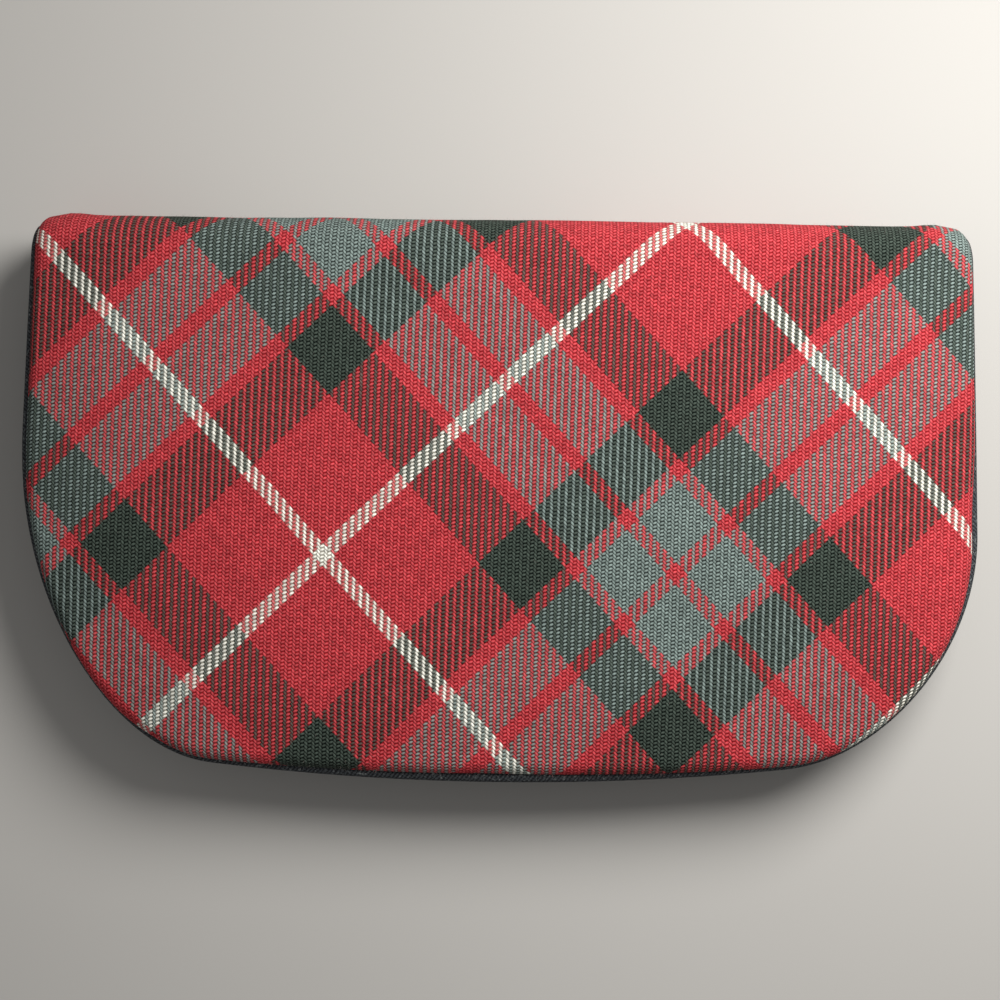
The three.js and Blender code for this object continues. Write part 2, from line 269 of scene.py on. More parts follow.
def fill(x, s, top_s, step):
    """Triangles inside a D: its open ring's points come first, then those along its top, then a grid."""
    columns = max(2, int((x[-1] - x[0]) / step))
    top_x = np.linspace(x[0], x[-1], columns + 1)[1:-1]
    edge = [Vector(p) for p in zip(np.r_[x, top_x[::-1]], np.r_[s, np.full(top_x.size, top_s)])]
    grid_x = np.arange(x.min() + step, x.max(), step)
    grid_s = np.arange(s.min() + step, top_s - step / 2, step)
    grid = np.stack(np.meshgrid(grid_x, grid_s), -1).reshape(-1, 2)
    loop = np.array([(p.x, p.y) for p in edge])
    inside = points_inside(grid[:, 0], grid[:, 1], loop) & (nearest(grid, loop) > step * 0.55)
    points = edge + [Vector(p) for p in grid[inside]]
    count = len(edge)
    sides = [(i, (i + 1) % count) for i in range(count)]
    verts, _, faces, _, _, _ = delaunay_2d_cdt(points, sides, [list(range(count))], 1, 1e-6)
    assert len(verts) == len(points)
    return np.array([(v.x, v.y) for v in verts]), faces, count


def points_inside(px, py, loop):
    """Whether each point lies inside the closed loop, by counting crossings."""
    inside = np.zeros(px.size, bool)
    for (x0, y0), (x1, y1) in zip(loop, np.roll(loop, -1, 0)):
        if y0 != y1:
            inside ^= ((y0 > py) != (y1 > py)) & (px < (x1 - x0) * (py - y0) / (y1 - y0) + x0)
    return inside


def layer(name, side, top, section, material, inset, shape, step=2.4, outline_step=1.6, threads=False):
    """A closed sheet or slab of the D's shape, bent round the fold.

    section is the profile of its edge as (inset, depth), from inside the upper surface, round the edge, to
    inside the lower surface, the same distance in. inset is a number or a function of the outline, and
    shape(x, s, edge distance, upper) is added to each depth.
    """
    outline = Outline(top, outline_step)
    base = inset(outline) if callable(inset) else np.full(outline.x.size, float(inset))
    middle, triangles, count = fill(*outline.inset(base + section[0][0]), top, step)
    n = outline.x.size
    still = np.zeros(middle.shape)
    outwards = np.stack([outline.nx, outline.ns], -1)

    # the upper surface, a ring for each step of the section, and the lower surface
    flats, stretches, depths, starts = [middle], [still], [np.full(len(middle), section[0][1])], [0]
    travelled = 0.0
    for (o0, d0), (o1, d1) in zip(section, section[1:]):
        travelled += math.hypot(o1 - o0, d1 - d0)
        hidden = travelled - (section[0][0] - o1)  # cloth length that the plan view doesn't show
        is_last = (o1, d1) == section[-1]
        starts.append(starts[-1] + len(flats[-1]))
        flats.append(middle if is_last else np.stack(outline.inset(base + o1), -1))
        stretches.append(still if is_last else outwards * hidden)
        depths.append(np.full(len(flats[-1]), float(d1)))

    faces = [list(triangle) for triangle in triangles]
    for near, far in zip(starts, starts[1:]):
        faces += [[near + i, far + i, far + i + 1, near + i + 1] for i in range(n - 1)]
    lower = starts[-1]
    faces += [[lower + i for i in reversed(triangle)] for triangle in triangles]
    # close the cut along the top: round the section at both ends and along both surfaces
    across = list(range(n - 1, count)) + [0]
    rings = starts[1:-1]
    back_across = [lower + i for i in reversed(across)]
    faces.append(across + rings + back_across + [ring + n - 1 for ring in reversed(rings)])

    flat, depth = np.concatenate(flats), np.concatenate(depths)
    x, s = flat.T
    is_upper = np.arange(x.size) < lower
    depth = depth + shape(x, s, outline.distance(x, s), is_upper)
    piece = make_object(name, side.place(x, s, depth), faces, material)
    face_outwards(piece)
    keep_cut_crisp(piece)
    cloth = flat + np.concatenate(stretches)
    store(piece, "cloth", cloth * MM)
    if threads:
        store(piece, "thread", thread_coordinates(cloth, side))
    return piece


def round_edge(radius, low, thickness, tuck=0.0, steps=7, lead=(14.0, 10.0, 7.0, 4.5)):
    """An edge that rolls over by a quarter circle, goes straight down to low, and comes back inside."""
    section = [(radius + extra, 0.0) for extra in lead]
    for i in range(steps + 1):
        turn = math.pi / 2 * i / steps
        section.append((radius * (1 - math.sin(turn)), radius * (1 - math.cos(turn))))
    if low > radius:
        section.append((tuck, low))
    section.append((thickness + tuck, low))
    section.append((thickness + 0.2, radius))
    section.append((radius + 0.3, thickness + 0.25))
    section.append((section[0][0], thickness))
    return section


def slab(radius, thickness, lead=(3.0, 1.2), steps=4):
    """An even slab with rounded edges."""
    section = [(radius + extra, 0.0) for extra in lead]
    for i in range(2 * steps + 1):
        turn = math.pi * i / (2 * steps)
        depth = thickness / 2 * (1 - math.cos(turn))
        section.append((radius * (1 - math.sin(turn)), depth))
    section += [(radius + extra, thickness) for extra in reversed(lead)]
    return section


CORD_SIDES = 14
LIP_TURN = 0.35  # half the angle, in radians, that the seam lip takes up of a cord's round
LIP_REACH = 1.6  # from the cord's middle to the lip's inner edge, in cord radii
LIP_HALF = 0.17  # half the lip's thickness, in cord radii


def sweep(name, side, top, inset, depth, radius, material):
    """A piping cord with its seam lip, along the outline; inset, depth and radius are functions of s."""
    outline = Outline(top, 1.0)
    turns = np.linspace(math.pi - LIP_TURN, LIP_TURN - math.pi, CORD_SIDES + 1)
    section = [(math.cos(turn), math.sin(turn)) for turn in turns]
    section = [(-LIP_REACH, LIP_HALF)] + section + [(-LIP_REACH, -LIP_HALF)]
    at_inset, at_depth, at_radius = inset(outline.s), depth(outline.s), radius(outline.s)
    count = len(section)
    rows = []
    for out, up in section:
        x, s = outline.inset(at_inset - out * at_radius)
        rows.append(side.place(x, s, at_depth - up * at_radius))
    points = np.stack(rows, 1).reshape(-1, 3)
    n = outline.x.size
    piece = make_object(name, points, tube_faces(n, count) + end_faces(n, count), material)
    face_outwards(piece)
    around = np.tile(np.linspace(0, 2 * math.pi * FLAP_CORD_R, count), n)
    along = np.repeat(outline.run, count)
    store(piece, "cloth", np.stack([along, around], -1) * MM)
    return piece


def turned(name, profile, center, material, segments=64):
    """A turned piece about a vertical axis; the profile is (radius, z), closed on the axis or on itself."""
    profile = np.array(profile, float)
    closed = profile[0, 0] > 0
    count = len(profile)
    points, faces = [], []
    turns = np.linspace(0, 2 * math.pi, segments, endpoint=False)
    index = {}
    for j, (r, z) in enumerate(profile):
        if r < 1e-6:
            index[j] = [len(points)] * segments
            points.append((center[0], center[1], z))
        else:
            index[j] = list(range(len(points), len(points) + segments))
            points += [(center[0] + r * math.cos(t), center[1] + r * math.sin(t), z) for t in turns]
    pairs = [(j, (j + 1) % count) for j in range(count if closed else count - 1)]
    for j, k in pairs:
        for i in range(segments):
            m = (i + 1) % segments
            ring = [index[j][i], index[j][m], index[k][m], index[k][i]]
            face = [point for at, point in enumerate(ring) if point != ring[at - 1]]
            if len(set(face)) > 2:
                faces.append(face)
    piece = make_object(name, points, faces, material)
    face_outwards(piece)
    store(piece, "cloth", np.array(points) * MM)
    return piece


def stitches(name, points, up, material, spacing=2.6, length=1.9, radius=0.19, sides=6):
    """A row of stitches along a line of points, each a small thread that dips at its ends."""
    points = np.asarray(points, float)
    run = np.concatenate([[0], np.cumsum(np.linalg.norm(np.diff(points, axis=0), axis=1))])
    up = np.asarray(up)
    verts, faces = [], []
    rings = np.linspace(-1, 1, 7)
    for start in np.arange(spacing / 2, run[-1] - spacing / 2, spacing):
        at = np.array([np.interp(start, run, points[:, k]) for k in range(3)])
        ahead = np.array([np.interp(start + 0.4, run, points[:, k]) for k in range(3)])
        along = (ahead - at) / np.linalg.norm(ahead - at)
        across = np.cross(up, along)
        faces += tube_faces(rings.size, sides, len(verts)) + end_faces(rings.size, sides, len(verts))
        for e in rings:
            swell = radius * math.sqrt(max(0.06, 1 - e ** 4))
            rise = radius * (0.9 - 1.7 * e * e)
            for j in range(sides):
                turn = 2 * math.pi * j / sides
                ring = across * math.cos(turn) * swell * 1.25 + up * math.sin(turn) * swell
                verts.append(at + along * e * length / 2 + up * rise + ring)
    piece = make_object(name, verts, faces, material)
    face_outwards(piece)
    store(piece, "cloth", np.array(verts) * MM)
    return piece


# ---- The tartan's threads ----
# The sett from the middle of the white stripe to the middle of its other pivot, in threads.
SETT = [("white", 3), ("red", 40), ("green", 24), ("red", 6), ("grey", 22), ("red", 3)]
HALF_SETT = sum(count for _, count in SETT)
RISING_STEP = 0.5812  # mm along a rising thread from one falling thread to the next
FALLING_STEP = 0.5948
RISING = math.radians(44.42)  # the two thread families' directions on the flap
FALLING = math.radians(47.75)
WHITE_CROSSING = (-39.04, -14.33)  # where two white stripes cross on the flap, in mm
# How the cloth is pulled out of true, in threads per mm squared: the terms of x*x, x*s and s*s
FALLING_PULL = (0.00018, -0.00006, -0.00020)
RISING_PULL = (0.00008, -0.00040, 0.00009)


def thread_coordinates(cloth, side):
    """Which thread of each family lies at each point of the flat cloth, as fractional indices."""
    run = cloth[:, 1].copy()
    if side is BACK:
        run = FRONT.split + (BACK.split - run)  # the cloth goes on over the spine and down the back
    rising = np.array([math.cos(RISING), math.sin(RISING)])
    falling = np.array([math.cos(FALLING), -math.sin(FALLING)])
    basis = np.linalg.inv(np.stack([rising * RISING_STEP, falling * FALLING_STEP], 1))
    offset = np.stack([cloth[:, 0] - WHITE_CROSSING[0], run - WHITE_CROSSING[1]], 0)
    x, y = cloth[:, 0], np.clip(run, -FOLD_Y, FOLD_Y)
    squares = np.stack([x * x, x * y, y * y], 0)
    return (basis @ offset + np.array([FALLING_PULL, RISING_PULL]) @ squares).T


# ---- Materials ----
def scaled(color, factor):
    """A colour made darker or paler."""
    return tuple(channel * factor for channel in color[:3]) + (1,)


class Nodes:
    """A short way to write a material's nodes."""

    def __init__(self, name):
        self.material = bpy.data.materials.new(name)
        self.material.use_nodes = True
        self.tree = self.material.node_tree
        self.shader = self.tree.nodes["Principled BSDF"]

    def node(self, kind, inputs=(), output=0, **settings):
        made = self.tree.nodes.new(kind)
        for key, value in settings.items():
            setattr(made, key, value)
        for key, value in dict(inputs).items():
            self.put(made.inputs[key], value)
        return made.outputs[output]

    def put(self, socket, value):
        if isinstance(value, bpy.types.NodeSocket):
            self.tree.links.new(value, socket)
        else:
            socket.default_value = value

    def math(self, operation, a, b=0.0, c=0.0, clamp=False):
        return self.node("ShaderNodeMath", {0: a, 1: b, 2: c}, operation=operation, use_clamp=clamp)

    def mix(self, amount, a, b, blend="MIX"):
        inputs = {0: amount, 6: a, 7: b}
        return self.node("ShaderNodeMix", inputs, output=2, data_type="RGBA", blend_type=blend)

    def ramp(self, value, stops, interpolation="LINEAR"):
        made = self.tree.nodes.new("ShaderNodeValToRGB")
        made.color_ramp.interpolation = interpolation
        elements = made.color_ramp.elements
        while len(elements) < len(stops):
            elements.new(0.5)
        for element, (position, color) in zip(elements, stops):
            element.position = position
            element.color = (*color, 1) if len(color) == 3 else color
        self.put(made.inputs[0], value)
        return made.outputs[0]

    def attribute(self, name):
        return self.node("ShaderNodeAttribute", output=1, attribute_name=name)

    def split(self, vector):
        made = self.tree.nodes.new("ShaderNodeSeparateXYZ")
        self.put(made.inputs[0], vector)
        return made.outputs[0], made.outputs[1], made.outputs[2]

    def join(self, x, y, z=0.0):
        return self.node("ShaderNodeCombineXYZ", {0: x, 1: y, 2: z})

    def noise(self, vector, scale, detail=2.0, roughness=0.5, output=0):
        inputs = {"Vector": vector, "Scale": scale, "Detail": detail, "Roughness": roughness}
        return self.node("ShaderNodeTexNoise", inputs, output=output)

    def stripes(self, value, spacing):
        """A wave between -1 and 1 that repeats every spacing metres of the value."""
        return self.math("SINE", self.math("MULTIPLY", value, 2 * math.pi / spacing))

    def bump(self, height, distance, strength=1.0, normal=None):
        inputs = {"Height": height, "Distance": distance, "Strength": strength}
        if normal is not None:
            inputs["Normal"] = normal
        return self.node("ShaderNodeBump", inputs)

    def finish(self, **sockets):
        for name, value in sockets.items():
            self.put(self.shader.inputs[name.replace("_", " ")], value)
        return self.material


LIT_CROWNS = {  # each yarn's colour on its crowns, lighter and paler with painted highlight and sheen, and with some paler loose fibres
    "white": (1.0, 1.0, 0.92),
    "red": (0.62, 0.080, 0.094),
    "green": (0.066, 0.088, 0.074),
    "grey": (0.245, 0.315, 0.300),
}
SHADED_GROOVES = {  # and in the grooves between the yarns, darker with painted shade, and deeper in colour where the light goes from fibre to fibre
    "white": (0.36, 0.35, 0.29),
    "red": (0.27, 0.006, 0.011),
    "green": (0.001, 0.004, 0.003),
    "grey": (0.022, 0.030, 0.028),
}
BLEED = 0.10  # how much of the crossing yarn's fibres lies over each yarn


def sett_colors(n, index, yarns):
    """The yarn colour of each thread of one family, from its place in the sett."""
    place = n.math("PINGPONG", n.math("ADD", index, 0.5), float(HALF_SETT))
    place = n.math("DIVIDE", place, float(HALF_SETT))
    stops, at = [], 0
    for color, count in SETT:
        stops.append((at / HALF_SETT, yarns[color]))
        at += count
    return n.ramp(place, stops, "CONSTANT")


BEAD = (0.56, 0.29)  # half-length and half-width in mm of the part of a thread that shows between crossings
FALLING_SLANT = math.radians(-12)  # how far each family's beads are turned from their thread by its twist
RISING_SLANT = math.radians(25)


def tartan_material(name):
    """A 2/2 twill of thick woollen yarns: two on, two off, stepping by one thread each row."""
    n = Nodes(name)
    u, v, _ = n.split(n.attribute("thread"))
    # the cloth's threads wander a little
    wander = n.noise(n.join(u, v), 0.045, 1.0)
    jostle = n.noise(n.join(v, u), 0.30, 2.0)
    drift = n.math("MULTIPLY", n.math("SUBTRACT", wander, 0.5), 0.7)
    shove = n.math("MULTIPLY", n.math("SUBTRACT", jostle, 0.5), 0.42)
    u = n.math("ADD", u, n.math("ADD", drift, shove))
    v = n.math("ADD", v, n.math("SUBTRACT", shove, drift))
    i, j = n.math("FLOOR", u), n.math("FLOOR", v)
    turn = n.math("FLOORED_MODULO", n.math("ADD", i, j), 4.0)
    falling_on_top = n.math("LESS_THAN", turn, 1.5)

    across_falling, across_rising = n.math("FRACT", u), n.math("FRACT", v)
    run_falling, run_rising = n.math("ADD", i, v), n.math("ADD", j, u)
    along_falling = n.math("DIVIDE", n.math("FLOORED_MODULO", run_falling, 4.0), 2.0)
    along_rising = n.math("MULTIPLY_ADD", n.math("FLOORED_MODULO", run_rising, 4.0), 0.5, -1.0)

    def yarn(across, along, run, index, seed, position, slant, step):
        """Height, brightness and fibre twist of one thread.

        Each float is a bead, an ellipse turned by slant from the thread's own direction, as its plies lie.
        across and along run from 0 to 1 over the float, and step is the thread spacing in mm.
        """
        a = n.math("MULTIPLY_ADD", along, 2 * step, -step)
        c = n.math("MULTIPLY_ADD", across, step, -step / 2)
        cos, sin = math.cos(slant), math.sin(slant)
        length = n.math("ADD", n.math("MULTIPLY", a, cos / BEAD[0]), n.math("MULTIPLY", c, sin / BEAD[0]))
        width = n.math("ADD", n.math("MULTIPLY", a, -sin / BEAD[1]), n.math("MULTIPLY", c, cos / BEAD[1]))
        far = n.math("ADD", n.math("MULTIPLY", length, length), n.math("MULTIPLY", width, width))
        tone = n.node("ShaderNodeTexWhiteNoise", {"W": n.math("ADD", index, seed)}, noise_dimensions="1D")
        slub = n.noise(n.join(n.math("MULTIPLY", position, 0.21), index, seed), 1.0, 2.0)
        turns = n.math("MULTIPLY_ADD", across, 3.2, n.math("MULTIPLY", position, 2.1))
        twist = n.noise(n.join(turns, n.math("MULTIPLY", position, 0.5), index), 1.6, 2.0)
        far = n.math("ADD", far, n.math("MULTIPLY_ADD", twist, 1.1, -0.55))
        height = n.math("POWER", n.math("MULTIPLY_ADD", far, -0.8, 1.0, clamp=True), 0.6)
        bead = n.math("FLOOR", n.math("DIVIDE", run, 4.0))
        own = n.node("ShaderNodeTexWhiteNoise", {"Vector": n.join(bead, index, seed)}, noise_dimensions="3D")
        bright = n.math("MULTIPLY_ADD", own, 0.34, 0.83)
        bright = n.math("MULTIPLY", bright, n.math("MULTIPLY_ADD", tone, 0.16, 0.92))
        bright = n.math("MULTIPLY", bright, n.math("MULTIPLY_ADD", slub, 0.36, 0.82))
        # painted highlight: brighter along the plies' twist
        bright = n.math("MULTIPLY", bright, n.math("MULTIPLY_ADD", twist, 0.7, 0.65))
        return height, bright, twist

    h1, b1, t1 = yarn(across_falling, along_falling, run_falling, i, 3.7, v, FALLING_SLANT, FALLING_STEP)
    h2, b2, t2 = yarn(across_rising, along_rising, run_rising, j, 41.3, u, RISING_SLANT, RISING_STEP)
    height = n.node("ShaderNodeMix", {0: falling_on_top, 2: h2, 3: h1}, data_type="FLOAT")
    bright = n.node("ShaderNodeMix", {0: falling_on_top, 2: b2, 3: b1}, data_type="FLOAT")
    twist = n.node("ShaderNodeMix", {0: falling_on_top, 2: t2, 3: t1}, data_type="FLOAT")

    def woven(yarns):
        """The upper yarn's colour, with a little of the crossing yarn's."""
        falling, rising = sett_colors(n, i, yarns), sett_colors(n, j, yarns)
        upper = n.mix(falling_on_top, rising, falling)
        return n.mix(BLEED, upper, n.mix(falling_on_top, falling, rising))

    # painted shade and highlight: the grooves' shaded colours low on each bead, the lit crowns' colours high
    # on it
    color = n.mix(height, woven(SHADED_GROOVES), woven(LIT_CROWNS))
    patch = n.noise(n.join(u, v), 0.02, 3.0)
    shade = n.math("MULTIPLY", bright, n.math("MULTIPLY_ADD", patch, 0.16, 0.92))
    color = n.mix(1.0, color, n.node("ShaderNodeCombineColor", {0: shade, 1: shade, 2: shade}), "MULTIPLY")
    # loose pale fibres across the face
    fibre = n.noise(n.join(n.math("MULTIPLY", u, 0.6), n.math("MULTIPLY", v, 2.6)), 0.9, 4.0, 0.7)
    fibre = n.math("MULTIPLY", n.math("SUBTRACT", fibre, 0.62, clamp=True), 1.1, clamp=True)
    color = n.mix(fibre, color, (0.42, 0.38, 0.35, 1))
    height = n.math("MULTIPLY_ADD", twist, 0.14, height)
    normal = n.bump(height, 0.00028, 0.9)
    return n.finish(Base_Color=color, Roughness=0.95, Normal=normal, Specular_IOR_Level=0.06,
                    Sheen_Weight=0.03, Sheen_Roughness=0.45, Sheen_Tint=(1.0, 0.86, 0.80, 1))


def fuzz_material():
    """Single wool fibres standing out of the cloth, in the colour of the yarn they come from."""
    n = Nodes("wool_fibre")
    u, v, pale = n.split(n.attribute("thread"))
    color = sett_colors(n, n.math("FLOOR", u), LIT_CROWNS)
    color = n.mix(n.math("MULTIPLY_ADD", pale, 0.6, 0.12), color, (0.62, 0.54, 0.50, 1))
    grain = n.noise(n.join(u, v), 3.0, 2.0)
    color = n.mix(n.math("MULTIPLY", grain, 0.5), color, (0.30, 0.22, 0.20, 1))
    return n.finish(Base_Color=color, Roughness=0.7, Specular_IOR_Level=0.3, Sheen_Weight=0.3)


def leatherette_material(name, base, glint, scale, roughness):
    """Grained coated cloth: pebbles with creases between them, darkened in the creases by painted shade, so
    paler on their crowns.
    """
    n = Nodes(name)
    at = n.attribute("cloth")
    warp = n.noise(at, 260.0 * scale, 2.0, output=1)
    warp = n.node("ShaderNodeVectorMath", {0: warp, "Scale": 0.0006 / scale}, operation="SCALE")
    bent = n.node("ShaderNodeVectorMath", {0: at, 1: warp}, operation="ADD")
    cells = {"Vector": bent, "Scale": 1500.0 * scale}
    pebble = n.node("ShaderNodeTexVoronoi", cells, feature="SMOOTH_F1")
    crease = n.node("ShaderNodeTexVoronoi", cells, feature="DISTANCE_TO_EDGE")
    crease = n.math("SMOOTH_MIN", n.math("MULTIPLY", crease, 6.0), 1.0, 0.4)
    fine = n.noise(at, 5200.0, 3.0)
    patch = n.noise(at, 42.0, 3.0)
    grain = n.math("MULTIPLY_ADD", fine, 0.2, n.math("MULTIPLY", pebble, -0.2))
    height = n.math("ADD", n.math("MULTIPLY", crease, 0.7), grain)
    sparkle = n.math("MULTIPLY", n.math("SUBTRACT", fine, 0.55, clamp=True), 2.2, clamp=True)
    # painted shade: the creases darker
    color = n.mix(crease, scaled(base, 0.45), base)
    color = n.mix(sparkle, color, glint)
    color = n.mix(n.math("MULTIPLY", patch, 0.35), color, scaled(base, 1.7))
    rough = n.math("MULTIPLY_ADD", patch, 0.16, roughness - 0.08)
    normal = n.bump(height, 0.00007, 0.8)
    return n.finish(Base_Color=color, Roughness=rough, Normal=normal, Specular_IOR_Level=0.45)


def piping_material():
    """A bias strip of slate-black cotton over a cord: fine slanting ribs, with pale lint caught on them."""
    n = Nodes("piping_cotton")
    at = n.attribute("cloth")
    along, around, _ = n.split(at)
    jitter = n.math("MULTIPLY", n.noise(at, 900.0, 2.0), 0.0008)
    rib = n.stripes(n.math("ADD", n.math("MULTIPLY_ADD", around, 0.7, along), jitter), 0.00095)
    cross = n.stripes(n.math("MULTIPLY_ADD", along, -0.7, around), 0.0008)
    weave = n.math("MULTIPLY_ADD", n.math("MULTIPLY_ADD", cross, 0.35, rib), 0.37, 0.5, clamp=True)
    lint = n.noise(at, 1150.0, 3.0, 0.65)
    patch = n.noise(at, 75.0, 3.0)
    # painted highlight on the ribs and painted shade between them
    color = n.mix(weave, (0.002, 0.0025, 0.004, 1), (0.070, 0.080, 0.090, 1))
    caught = n.math("MULTIPLY", n.math("SUBTRACT", lint, 0.56, clamp=True), 5.0, clamp=True)
    color = n.mix(caught, color, (0.34, 0.37, 0.37, 1))
    color = n.mix(n.math("MULTIPLY", patch, 0.4), color, (0.014, 0.016, 0.019, 1))
    normal = n.bump(n.math("ADD", weave, n.math("MULTIPLY", lint, 0.5)), 0.00012, 0.8)
    return n.finish(Base_Color=color, Roughness=0.82, Normal=normal, Specular_IOR_Level=0.2)


def satin_material(name, base):
    """Satin lining: long floats that shine along one way, with soft creases."""
    n = Nodes(name)
    at = n.attribute("cloth")
    x, s, z = n.split(at)
    stripe = n.stripes(n.math("ADD", x, s), 0.00042)
    cross = n.stripes(n.math("SUBTRACT", x, s), 0.0013)
    soft = n.noise(at, 46.0, 3.0)
    crease = n.noise(n.join(n.math("MULTIPLY", x, 0.35), s, z), 120.0, 2.0)
    height = n.math("ADD", n.math("MULTIPLY", cross, 0.05), n.math("MULTIPLY", crease, 3.2))
    height = n.math("ADD", n.math("MULTIPLY", stripe, 0.12), height)
    color = n.mix(n.math("MULTIPLY", soft, 0.8, clamp=True), base, scaled(base, 1.9))
    # painted sheen: paler along the floats' stripes
    color = n.mix(n.math("MULTIPLY_ADD", stripe, 0.14, 0.14), color, scaled(base, 2.4))
    rough = n.math("MULTIPLY_ADD", soft, 0.2, 0.34)
    normal = n.bump(height, 0.00012, 0.7)
    return n.finish(Base_Color=color, Roughness=rough, Normal=normal, Specular_IOR_Level=0.5,
                    Sheen_Weight=0.35, Sheen_Roughness=0.3, Anisotropic=0.4)


def metal_material(name, base, roughness, scratch):
    """Plated metal, brushed one way and a little spotted."""
    n = Nodes(name)
    at = n.node("ShaderNodeTexCoord", output=3)
    x, y, z = n.split(at)
    lines = n.noise(n.join(n.math("MULTIPLY", x, 22.0), y, z), 900.0, 4.0, 0.7)
    spots = n.noise(at, 700.0, 3.0)
    color = n.mix(n.math("MULTIPLY", spots, 0.5), base, scaled(base, 0.72))
    rough = n.math("MULTIPLY_ADD", lines, scratch, roughness)
    return n.finish(Base_Color=color, Roughness=rough, Metallic=1.0, Normal=n.bump(lines, 0.00001, 0.5))


def board_material():
    """Grey pressed board, with short fibres."""
    n = Nodes("board")
    at = n.node("ShaderNodeTexCoord", output=3)
    fibre = n.noise(at, 900.0, 4.0, 0.7)
    color = n.ramp(fibre, [(0.3, (0.20, 0.18, 0.15)), (0.7, (0.38, 0.35, 0.30))])
    return n.finish(Base_Color=color, Roughness=0.9, Normal=n.bump(fibre, 0.0001, 0.6))


def foam_material():
    """Off-white wadding, open and fibrous."""
    n = Nodes("wadding")
    at = n.attribute("cloth")
    fluff = n.noise(at, 700.0, 5.0, 0.75)
    color = n.ramp(fluff, [(0.25, (0.48, 0.47, 0.43)), (0.75, (0.78, 0.77, 0.72))])
    return n.finish(Base_Color=color, Roughness=0.95, Normal=n.bump(fluff, 0.0004, 0.8), Sheen_Weight=0.3)


def thread_material(name, base):
    """Sewing thread: a fine twist along each stitch."""
    n = Nodes(name)
    at = n.attribute("cloth")
    x, y, z = n.split(at)
    ply = n.stripes(n.math("ADD", n.math("ADD", x, y), z), 0.00034)
    grain = n.noise(at, 2400.0, 3.0)
    # painted highlight: paler on the ridges of the twist
    color = n.mix(n.math("MULTIPLY_ADD", ply, 0.3, 0.3), base, scaled(base, 2.2))
    color = n.mix(n.math("MULTIPLY", grain, 0.4), color, scaled(base, 0.5))
    return n.finish(Base_Color=color, Roughness=0.6, Normal=n.bump(ply, 0.00004, 0.6), Sheen_Weight=0.2)


tartan = tartan_material("tartan_twill")
wool_fibre = fuzz_material()
piping_skin = piping_material()
leatherette = leatherette_material("black_leatherette", base=(0.013, 0.013, 0.015, 1),
                                   glint=(0.06, 0.06, 0.065, 1), scale=0.7, roughness=0.46)
satin = satin_material("black_satin", (0.010, 0.011, 0.013, 1))
nickel = metal_material("nickel", (0.70, 0.69, 0.67, 1), roughness=0.16, scratch=0.16)
magnet = metal_material("magnet_metal", (0.16, 0.16, 0.17, 1), roughness=0.42, scratch=0.2)
board = board_material()
wadding = foam_material()
sewing_thread = thread_material("sewing_thread", (0.03, 0.03, 0.034, 1))


# ---- Each piece's placement, baked into its mesh ----
def bend_flap(piece):
    start, end = mm(0, FOLD_Y, TOP_Z - FRONT_FOLD), mm(0, FRONT.bend, TOP_Z)
    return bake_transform(piece)


def bend_back(piece):
    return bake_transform(piece, "pouch", "spine", start=mm(0, BACK.bend, 0), end=mm(0, FOLD_Y, BACK_FOLD))


# ---- Tartan covers ----
FLAP_ROLL = 3.0  # radius of the flap's edge
CLOTH = 1.0  # thickness of the tartan
CROWN = 0.7  # how much higher the padded face is in its middle
CROWN_RUN = 60.0
SHOULDER = 1.7  # how much lower it is at its edge
SHOULDER_RUN = 20.0
SPINE_SHARE = 0.45  # how much of both the spine's cloth has

# How far the flap's cloth stops short of the piping's outer side, by where the edge faces: 0 degrees is
# left, 90 down and 180 right. The cloth is pulled over the piping round both lower corners, and away from it
# along the rounded end.
CLOTH_GAP_FACING = (0, 32, 46, 58, 74, 84, 87, 90, 93, 96, 104, 118, 140, 160, 180)
CLOTH_GAP = (1.3, 0.6, 0.5, 1.0, 0.8, 0.9, 1.5, 2.0, 1.5, 0.8, 0.6, 0.5, 0.6, 1.0, 1.6)
UPPER_RIGHT_GAP = 0.6  # further up the right side the cloth covers the piping again
UPPER_RIGHT = (-6.0, 16.0)
SPINE_EDGE = 1.3  # inset of both covers where they meet along the spine


def flap_inset(outline):
    """The inset of the flap's cloth along the outline."""
    facing = np.degrees(np.arctan2(np.maximum(-outline.ns, 0), -outline.nx))
    gap = np.interp(facing, CLOTH_GAP_FACING, CLOTH_GAP)
    covered = (outline.nx > 0.9) * smooth(*UPPER_RIGHT, outline.s)
    gap = gap + (UPPER_RIGHT_GAP - gap) * covered
    return gap + (SPINE_EDGE - gap) * FRONT.over_fold(outline.s)


def padded_face(x, s, edge, upper):
    """Depth added to the flap's face: it sinks towards its edges, crowns in the middle, and is uneven."""
    sink = SHOULDER * (1 - smooth(0, SHOULDER_RUN, edge)) - CROWN * smooth(0, CROWN_RUN, edge)
    sink = sink * (1 - (1 - SPINE_SHARE) * FRONT.over_fold(s))
    corner = np.exp(-(((np.abs(x) - (WIDTH / 2 - 9)) / 5.5) ** 2))
    fold = smooth(FRONT.bend - 4, FRONT.bend + 8, s) * (1 - smooth(FRONT.straight - 3, FRONT.split - 1, s))
    at_split = 1 - smooth(FRONT.straight - 2, FRONT.split, s)
    uneven = 0.22 * ripple(x, s, 26.0, 0.3) + 0.07 * ripple(x, s, 8.0, 4.1)
    return sink - 1.15 * corner * fold - uneven * at_split


flap_cover = layer("flap_cover", FRONT, FRONT.split,
                   round_edge(FLAP_ROLL, FLAP_ROLL + 0.7, CLOTH, tuck=0.35), tartan,
                   inset=flap_inset, shape=padded_face, step=2.2, outline_step=1.3, threads=True)
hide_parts("flap_shell", "spine_shell")
bend_flap(flap_cover)


def back_inset(outline):
    """The back's cloth is as wide as the spine at the fold, and narrower where it meets the gusset."""
    on_spine = smooth(BACK.bend - 4, BACK.straight, outline.s)
    return BODY_CORD_INSET + (SPINE_EDGE - BODY_CORD_INSET) * on_spine


